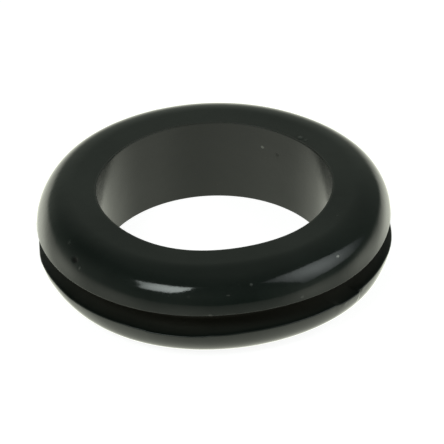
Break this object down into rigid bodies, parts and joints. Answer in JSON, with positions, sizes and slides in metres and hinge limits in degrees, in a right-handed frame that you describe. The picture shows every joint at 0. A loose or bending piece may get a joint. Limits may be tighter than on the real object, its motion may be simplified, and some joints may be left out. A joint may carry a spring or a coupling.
{
  "type": "cable grommet",
  "caption": "Open rubber cable grommet: a round collar with a plain bore, two equal rounded flanges and a groove between them that grips the edge of a panel hole.",
  "frame": {"origin": "centre of the lower flange's flat face, on the bore's axis", "axes": "+Z along the bore, from the lower flange's flat face to the upper one; the part is round about Z, so X and Y are arbitrary"},
  "size_m": [0.0302, 0.0302, 0.008],
  "materials": {
    "rubber": "satin"
  },
  "bodies": {
    "root": {"grommet": "rubber"}
  },
  "joints": []
}
